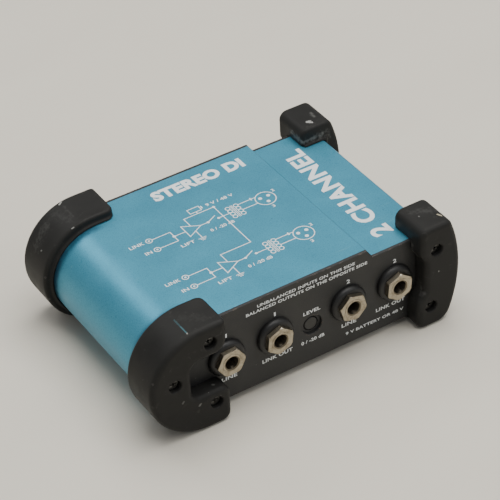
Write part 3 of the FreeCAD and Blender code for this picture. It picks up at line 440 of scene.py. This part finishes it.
def add_piece(node, mesh, finish):
    """A mesh as the piece that stands for a node, with the finish as its material, attached to its
    body.
    """
    body, slot = BODY_OF[node], SLOT_OF[node]
    mesh.materials.append(finish)
    made = bpy.data.objects.new(f"{node}_skin", mesh)
    bpy.context.scene.collection.objects.link(made)
    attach(made, body)
    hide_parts(node)
    return made


def welded(node):
    """The node's shape as a mesh whose faces share their corners."""
    work = bmesh.new()
    work.from_mesh(frame["nodes"][node].data)
    bmesh.ops.remove_doubles(work, verts=work.verts, dist=WELD_WITHIN)
    return work


def finished_mesh(name, work):
    """The mesh that was worked on, as data of its own."""
    mesh = bpy.data.meshes.new(name)
    work.to_mesh(mesh)
    work.free()
    return mesh


def skin(node, finish, round_edge, edge_finish=None):
    """The node's shape as one clean mesh, its edges broken by a small round."""
    work = welded(node)
    bmesh.ops.dissolve_limit(work, angle_limit=FLAT_WITHIN, verts=work.verts, edges=work.edges)
    for face in work.faces:
        face.smooth = True
    for edge in work.edges:
        edge.smooth = edge.is_manifold and edge.calc_face_angle(0.0) < SHARP
    made = add_piece(node, finished_mesh(f"{node}_skin", work), finish)
    bevel = made.modifiers.new("edges", "BEVEL")
    bevel.width = round_edge
    bevel.segments = 2
    bevel.limit_method = "ANGLE"
    bevel.angle_limit = SHARP
    bevel.harden_normals = True
    bevel.use_clamp_overlap = True
    if edge_finish is not None:
        made.data.materials.append(edge_finish)
        bevel.material = 1


def moulded_skin(node, finish, voxel, softening):
    """The node's shape as one even skin whose sharp edges are worn soft, as rubber's are."""
    made = add_piece(node, finished_mesh(f"{node}_skin", welded(node)), finish)
    grid = made.modifiers.new("grid", "REMESH")
    grid.mode = "VOXEL"
    grid.voxel_size = voxel
    grid.use_smooth_shade = True
    soften = made.modifiers.new("soften", "SMOOTH")
    soften.factor = 0.5
    soften.iterations = softening
    return made


def foam_pad(finish):
    """The door's foam pad, its cut edges soft and its face dented by the battery."""
    made = moulded_skin("battery_pad", finish, 0.35 * MM, 10)
    dents = bpy.data.textures.new("dents", "CLOUDS")
    dents.noise_scale = 3 * MM
    press = made.modifiers.new("dents", "DISPLACE")
    press.texture = dents
    press.texture_coords = "LOCAL"
    press.mid_level = 0.0
    press.strength = -0.35 * MM


# Print ----------------------------------------------------------------------------------------

PRINT_THICK = 0.03 * MM
LAYER_SHARE = 0.004
PEN = 0.44 * MM
FINE_PEN = 0.8 * PEN
SYMBOL_WORD = 2.0 * MM
SMALL_PRINT = 1.65 * MM


class Sheet:
    """A flat face to print on: its origin, the way text runs along it, and the way it stands up."""

    def __init__(self, origin, along, upward):
        self.origin, self.along, self.upward = Vector(origin), along, upward
        self.out = along.cross(upward)

    def matrix(self, across, up):
        turn = Matrix((self.along, self.upward, self.out)).transposed().to_4x4()
        place = self.origin + self.along * across + self.upward * up
        return Matrix.Translation(place) @ turn


class Print:
    """White ink on one face: words and line drawings gathered into a single thin mesh."""

    def __init__(self, name, sheet):
        self.name = name
        self.sheet = sheet
        self.work = bmesh.new()
        self.layers = 0

    def words(self, text, across, up, height, length, bold=0.02):
        """Plain capitals or figures of a given height and length, centred on a point."""
        letters = bpy.data.curves.new("letters", "FONT")
        letters.body = text
        letters.offset = bold
        letters.extrude = PRINT_THICK
        letters.resolution_u = 4
        letters.space_character = 1.05
        carrier = bpy.data.objects.new("letters", letters)
        mesh = bpy.data.meshes.new_from_object(carrier)
        corners = [corner.co for corner in mesh.vertices]
        left, right = min(c.x for c in corners), max(c.x for c in corners)
        foot, head = min(c.y for c in corners), max(c.y for c in corners)
        fit = Matrix.Diagonal((length / (right - left), height / (head - foot), 1, 1))
        middle = Matrix.Translation((-(left + right) / 2, -(foot + head) / 2, 0))
        mesh.transform(self.sheet.matrix(across, up) @ fit @ middle)
        self.work.from_mesh(mesh)
        bpy.data.objects.remove(carrier)
        bpy.data.meshes.remove(mesh)
        bpy.data.curves.remove(letters)

    def loops(self, outline):
        """The outline's corners below and above the sheet, each shape a hair thicker than the one
        before it so that no two faces lie in one plane."""
        matrix = self.sheet.matrix(0, 0)
        thick = PRINT_THICK * (1 + LAYER_SHARE * self.layers)
        return [[self.work.verts.new(matrix @ Vector((*corner, level))) for corner in outline]
                for level in (-thick, thick)]

    def wall(self, low, high):
        for here, there in zip(range(len(low)), [*range(1, len(low)), 0]):
            self.work.faces.new((low[here], low[there], high[there], high[here]))

    def prism(self, outline):
        """A flat shape given by its corners on the sheet, going round to the left."""
        self.layers += 1
        low, high = self.loops(outline)
        self.work.faces.new(reversed(low))
        self.work.faces.new(high)
        self.wall(low, high)

    def line(self, points, width=PEN):
        """A drawn line through the points, each stretch as long as its ends need to meet."""
        for start, end in zip(points, points[1:]):
            start, end = Vector(start), Vector(end)
            ahead = (end - start).normalized() * width / 2
            side = Vector((-ahead.y, ahead.x))
            self.prism([start - ahead - side, end + ahead - side,
                        end + ahead + side, start - ahead + side])

    def circle(self, centre, radius, steps):
        turns = [2 * math.pi * step / steps for step in range(steps)]
        return [(centre[0] + radius * math.cos(turn), centre[1] + radius * math.sin(turn))
                for turn in turns]

    def ring(self, centre, radius, steps):
        self.layers += 1
        outer_low, outer_high = self.loops(self.circle(centre, radius + PEN / 2, steps))
        inner_low, inner_high = self.loops(self.circle(centre, radius - PEN / 2, steps))
        self.wall(outer_low, outer_high)
        self.wall(inner_high, inner_low)
        self.wall(outer_high, inner_high)
        self.wall(inner_low, outer_low)

    def dot(self, centre, radius):
        self.prism(self.circle(centre, radius, 16))

    def done(self, finish):
        mesh = finished_mesh(self.name, self.work)
        mesh.materials.append(finish)
        made = bpy.data.objects.new(self.name, mesh)
        bpy.context.scene.collection.objects.link(made)
        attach(made, "root")


def white_ink():
    """White screen print, thin in places and a little worn."""
    white, thin = (0.80, 0.83, 0.83), (0.45, 0.55, 0.60)
    ink = Finish("white_ink")
    wear = ink.noise(0.9 * MM, 4.0, rough=0.7)
    hue = ink.colour(white, thin, ink.limits(wear, 0.60, 0.78))
    return ink.done(hue, ink.limits(wear, 0.3, 0.7, 0.5, 0.6))


def draw_sockets(ink, left, middle):
    """The link socket above the input socket, joined on their right. Returns how far right."""
    radius, rise = 1.5 * MM, 3.8 * MM
    join = left + 11 * MM
    low, high = middle - rise, middle + rise
    for level, name, length in ((high, "LINK", 7.4 * MM), (low, "IN", 3.4 * MM)):
        ink.words(name, left - 2.8 * MM - length / 2, level, 2.1 * MM, length)
        ink.ring((left, level), radius, 24)
        ink.dot((left, level), 0.55 * MM)
        ink.line([(left + radius, level), (join, level)])
    ink.line([(join, high), (join, low)])
    ink.dot((join, middle), 0.8 * MM)
    return join


def draw_amplifier(ink, start, middle):
    """A triangle and the line into it. Returns the places of its upright side and its tip."""
    side = start + 6 * MM
    tip, half = side + 8 * MM, 4.4 * MM
    ink.line([(start, middle), (side, middle)])
    ink.line([(side, middle - half), (side, middle + half), (tip, middle), (side, middle - half)])
    return side, tip


def draw_pad(ink, start, middle):
    """The open switch of the pad. Returns the place of its far contact."""
    near = start + 4 * MM
    far, contact = near + 5.6 * MM, 0.7 * MM
    ink.line([(start, middle), (near, middle)])
    ink.line([(near, middle), (near + 5 * MM, middle + 2.6 * MM)])
    ink.dot((near, middle), contact)
    ink.dot((far, middle), contact)
    ink.words("0 / -20 dB", near + 4 * MM, middle - 6.0 * MM, SYMBOL_WORD, 12.5 * MM)
    return far


def draw_coils(ink, start, middle):
    """Two coils with the core's two bars between them. Returns where the lines out start."""
    left = start + 6.9 * MM
    right = left + 4.4 * MM
    radius, turns, spacing = 1.1 * MM, 4, 2.3 * MM
    ink.line([(start, middle), (left - radius, middle)])
    for turn in range(turns):
        level = middle + (turn - (turns - 1) / 2) * spacing
        ink.ring((left, level), radius, 20)
        ink.ring((right, level), radius, 20)
    for bar in (left + 1.85 * MM, left + 2.55 * MM):
        ink.line([(bar, middle - 2 * spacing), (bar, middle + 2 * spacing)], FINE_PEN)
    return right + radius


def draw_output(ink, start, middle):
    """The round three-pin output, its pins' numbers and the two lines into it."""
    centre, radius = start + 13 * MM, 4.9 * MM
    pin_share, number_share = 0.52, 1.42
    ink.ring((centre, middle), radius, 48)
    for rise in (-1.1 * MM, 3.4 * MM):
        meet = centre - math.sqrt(radius ** 2 - rise ** 2)
        ink.line([(start, middle + rise), (meet, middle + rise)])
    for angle, number, length in ((150, "1", 0.7 * MM), (30, "2", 1.4 * MM), (270, "3", 1.4 * MM)):
        turn = math.radians(angle)
        across, up = radius * math.cos(turn), radius * math.sin(turn)
        ink.dot((centre + pin_share * across, middle + pin_share * up), 0.95 * MM)
        ink.words(number, centre + number_share * across, middle + number_share * up,
                  1.9 * MM, length)


def draw_lift(ink, across, top):
    """The ground sign that hangs from the amplifier, and the word of its switch."""
    ground = top - 6.0 * MM
    ink.line([(across, top), (across, ground)])
    for step in range(3):
        half = (1.9 - 0.6 * step) * MM
        level = ground - 0.8 * step * MM
        ink.line([(across - half, level), (across + half, level)], FINE_PEN)
    ink.words("LIFT", across - 7.6 * MM, ground, SYMBOL_WORD, 7 * MM)


def draw_channel(ink, left, middle):
    """One channel's signal path, left to right: sockets, amplifier, pad, isolating coils and
    output. Returns the place of the amplifier's supply terminal."""
    join = draw_sockets(ink, left, middle)
    side, tip = draw_amplifier(ink, join, middle)
    far = draw_pad(ink, tip, middle)
    draw_output(ink, draw_coils(ink, far, middle), middle)
    terminal, rise = (side + tip) / 2, 2.2 * MM
    draw_lift(ink, terminal, middle - rise)
    return terminal, middle + rise


def draw_supply(ink, terminals):
    """The battery and the line from it that feeds both channels' amplifiers."""
    rise = 6.2 * MM
    first = terminals[0][0]
    bus = first + 16 * MM
    levels = [level + rise for place, level in terminals]
    for (place, start), level in zip(terminals, levels):
        ink.line([(place, start), (place, level), (bus, level)])
    ink.line([(bus, levels[0]), (bus, levels[-1])])
    ink.dot((bus, levels[0]), 0.75 * MM)
    left, foot = first + 4.5 * MM, levels[0] + 1.6 * MM
    right, head = left + 6 * MM, foot + 3.2 * MM
    ink.line([(left, foot), (right, foot), (right, head), (left, head), (left, foot)])
    knob, inset = right + 0.9 * MM, 0.9 * MM
    ink.line([(knob, foot + inset), (knob, head - inset)], 1.4 * PEN)
    middle = (left + right) / 2
    ink.line([(middle, levels[0]), (middle, foot)])
    ink.words("9 V / 48 V", left + 16.5 * MM, (foot + head) / 2, SYMBOL_WORD, 14.5 * MM)


def print_top(finish):
    """Generic words and a signal drawing on the two levels of the top."""
    marks = Print("print_top_high", Sheet((0, 0, HIGH_TOP), X, Y))
    marks.words("STEREO DI", 3.0 * MM, 39.8 * MM, 7.6 * MM, 49 * MM, 0.055)
    terminals = [draw_channel(marks, -39 * MM, middle) for middle in (9 * MM, -23 * MM)]
    draw_supply(marks, terminals)
    marks.done(finish)
    low = Print("print_top_low", Sheet(((SHELL_HIGH.x + STEP_X) / 2, 0, LOW_TOP), Y, -X))
    low.words("2 CHANNEL", -0.8 * MM, 1.2 * MM, 10.4 * MM, 79 * MM, 0.035)
    low.done(finish)


def print_front(finish):
    """Socket names, channel numbers and small print on the front panel."""
    ink = Print("print_front", Sheet((0, FRONT, 0), X, Z))
    names = (("LINE", 8 * MM), ("LINK OUT", 16 * MM)) * 2
    shifts = (1.1 * MM, 1.1 * MM, 0.6 * MM, -1.8 * MM)
    number_lengths = {"1": 0.9 * MM, "2": 1.8 * MM}
    for place, (name, length), shift, channel in zip(SOCKETS, names, shifts, "1122"):
        ink.words(name, place.x + shift, place.z - 12.6 * MM, 2.0 * MM, length)
        ink.words(channel, place.x + 0.8 * MM, place.z + 11.6 * MM, 2.1 * MM,
                  number_lengths[channel])
    button_low, button_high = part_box("level_button")
    button = (button_low + button_high) / 2
    ink.words("LEVEL", button.x, button.z + 8.0 * MM, 1.9 * MM, 9 * MM)
    ink.words("0 / -20 dB", button.x, button.z - 8.4 * MM, 1.8 * MM, 12.4 * MM)
    for text, across, up, length in (
            ("UNBALANCED INPUTS ON THIS SIDE", 4.1, 48.0, 51.5),
            ("BALANCED OUTPUTS ON THE OPPOSITE SIDE", 4.5, 45.4, 64),
            ("9 V BATTERY OR 48 V", 40, 9.6, 32)):
        ink.words(text, across * MM, up * MM, SMALL_PRINT, length * MM)
    ink.done(finish)


def print_rear(finish):
    """Output numbers and the switches' words on the rear panel."""
    ink = Print("print_rear", Sheet((0, REAR, 0), -X, Z))
    for place, name in zip(OUTPUTS, ("OUT 1", "OUT 2")):
        ink.words(name, -place.x, place.z + 18.4 * MM, 2.0 * MM, 9 * MM)
    height, letter = 1.6 * MM, 1.65 * MM
    for node, above, below in (("ground_button", "GROUND", "LIFT"),
                               ("power_button", "POWER", "ON")):
        low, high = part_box(node)
        middle = (low + high) / 2
        ink.words(above, -middle.x, middle.z + 7.4 * MM, height, letter * len(above))
        ink.words(below, -middle.x, middle.z - 7.6 * MM, height, letter * len(below))
    ink.done(finish)


# Parts of the object --------------------------------------------------------------------------

def add_case():
    """The painted sheet metal and the rubber bumpers on its corners."""
    coat = black_paint("black_paint", False)
    worn_edge = black_paint("black_edge", True)
    skin("top_shell", blue_paint(), 0.25 * MM)
    for node in ("front_panel", "rear_panel"):
        skin(node, coat, 0.22 * MM, worn_edge)
    skin("base_plate", coat, 0.25 * MM)
    soft = rubber()
    for node in ("bumper_front_left", "bumper_front_right", "bumper_rear_left",
                 "bumper_rear_right"):
        moulded_skin(node, soft, 0.45 * MM, 8)


def add_fittings(dark):
    """What is mounted on the case: nodes, finish, and the round of their edges in millimetres."""
    fittings = (
        (("jack_nuts",),
         plated("nickel", (0.42, 0.375, 0.292), (0.28, 0.240, 0.175), 0.27), 0.15),
        (("jack_bushings",), barrel_metal(), 0.08),
        (("jack_washers",), plastic("ring_plastic", (0.010, 0.010, 0.010), 0.46), 0.3),
        (("bumper_screws", "base_screws", "output_screws"),
         plated("black_screw", (0.13, 0.13, 0.125), (0.05, 0.05, 0.05), 0.30), 0.08),
        (("output_left", "output_right"),
         plated("cup_metal", (0.30, 0.30, 0.30), (0.23, 0.23, 0.23), 0.34), 0.25),
        (("level_button", "ground_button", "power_button"),
         plastic("button_plastic", (0.016, 0.016, 0.016), 0.34), 0.25),
        (("output_inserts",), dark, 0.2),
        (("battery_door",), dark, 0.25),
        (("battery_tray",), dark, 0.15),
        (("battery",), battery_wrap(), 0.5),
        (("status_led",), plastic("red_lens", (0.42, 0.012, 0.010), 0.16, gloss=0.8), 0.15),
    )
    for nodes, finish, round_edge in fittings:
        for node in nodes:
            skin(node, finish, round_edge * MM)
    foam_pad(foam())


def finish_inner_nodes(dark):
    """Materials for the nodes inside the case, which show as they are, by their slots."""
    by_slot = {
        "bright_steel": plated("bright_steel", (0.64, 0.64, 0.63), (0.42, 0.42, 0.41), 0.30),
        "tin": plated("tin", (0.70, 0.69, 0.66), (0.45, 0.44, 0.42), 0.34),
        "pin_metal": plated("pin_metal", (0.72, 0.66, 0.50), (0.48, 0.42, 0.30), 0.24),
        "socket_plastic": dark,
        "switch_plastic": dark,
        "tray_plastic": dark,
        "board_green": circuit_board(),
        "chip_black": plastic("chip_black", (0.018, 0.018, 0.019), 0.55),
        "can_blue": plastic("can_blue", (0.020, 0.040, 0.130), 0.30),
        "resistor_tan": plastic("resistor_tan", (0.420, 0.300, 0.180), 0.45),
        "wire_grey": plastic("wire_grey", (0.240, 0.240, 0.250), 0.50),
    }
    for node, shown in frame["nodes"].items():
        if not shown.hide_render:
            shown.data.materials.clear()
            shown.data.materials.append(by_slot[SLOT_OF[node]])


def add_print():
    ink = white_ink()
    print_top(ink)
    print_front(ink)
    print_rear(ink)


# Scene ----------------------------------------------------------------------------------------

LENS_LENGTH, SENSOR_WIDTH = 154.8, 36.0
CAMERA_PLACE = Vector((-0.3841, -0.6731, 0.6452))
CAMERA_BACK = Vector((-0.3942, -0.6805, 0.6177))
CAMERA_RIGHT = Vector((0.8447, -0.5330, -0.0481))
ROOM_COLOUR, ROOM_STRENGTH = (0.93, 0.95, 1.0), 0.34
FLOOR_HALF = 2.0
FLOOR_GAP = 0.02 * MM


def add_camera():
    """A long lens above the front left corner, tilted a little."""
    lens = bpy.data.cameras.new("camera")
    lens.lens = LENS_LENGTH
    lens.sensor_width = SENSOR_WIDTH
    lens.clip_start = 0.01
    lens.clip_end = 20.0
    made = bpy.data.objects.new("camera", lens)
    back = CAMERA_BACK.normalized()
    right = CAMERA_RIGHT.normalized()
    up = back.cross(right).normalized()
    turn = Matrix((right, up, back)).transposed().to_4x4()
    made.matrix_world = Matrix.Translation(CAMERA_PLACE) @ turn
    bpy.context.scene.collection.objects.link(made)
    bpy.context.scene.camera = made


def add_room():
    world = bpy.data.worlds.new("room")
    world.use_nodes = True
    background = world.node_tree.nodes["Background"]
    background.inputs["Color"].default_value = rgba(ROOM_COLOUR)
    background.inputs["Strength"].default_value = ROOM_STRENGTH
    bpy.context.scene.world = world


def add_area_light(name, place, aim, size, power, tint=(1.0, 1.0, 1.0)):
    lamp = bpy.data.lights.new(name, "AREA")
    lamp.shape = "RECTANGLE"
    lamp.size, lamp.size_y = size
    lamp.energy = power
    lamp.color = tint
    made = bpy.data.objects.new(name, lamp)
    made.location = place
    made.rotation_euler = (Vector(aim) - Vector(place)).to_track_quat("-Z", "Y").to_euler()
    bpy.context.scene.collection.objects.link(made)


def add_lights():
    """A broad softbox overhead, a little to the right, and weaker ones behind and in front."""
    add_area_light("overhead", (0.20, 0.05, 1.30), (0, 0, 0), (1.2, 1.2), 22.0, (1.0, 0.98, 0.94))
    add_area_light("behind", (-0.30, 1.05, 0.95), (0, 0, 0.03), (0.5, 0.4), 3.0)
    add_area_light("front", (0.65, -0.90, 0.90), (0, 0, 0.02), (0.5, 0.5), 3.2)


def add_floor():
    """Plain pale floor with a faint uneven tone."""
    pale, paler = (0.68, 0.640, 0.550), (0.74, 0.700, 0.605)
    floor = Finish("floor")
    tone = floor.noise(60 * MM, 3.0, stretch=(0.3, 1.0, 1.0))
    paint = floor.done(floor.colour(pale, paler, tone), 0.6)
    corners = [(across * FLOOR_HALF, along * FLOOR_HALF, 0)
               for across, along in ((-1, -1), (1, -1), (1, 1), (-1, 1))]
    mesh = bpy.data.meshes.new("floor")
    mesh.from_pydata(corners, [], [(0, 1, 2, 3)])
    mesh.materials.append(paint)
    made = bpy.data.objects.new("floor", mesh)
    made.location.z = cad_low.z - FLOOR_GAP
    bpy.context.scene.collection.objects.link(made)


def main():
    dark = plastic("dark_plastic", (0.022, 0.022, 0.023), 0.48)
    add_case()
    add_fittings(dark)
    finish_inner_nodes(dark)
    add_print()
    add_camera()
    add_room()
    add_lights()
    add_floor()


main()
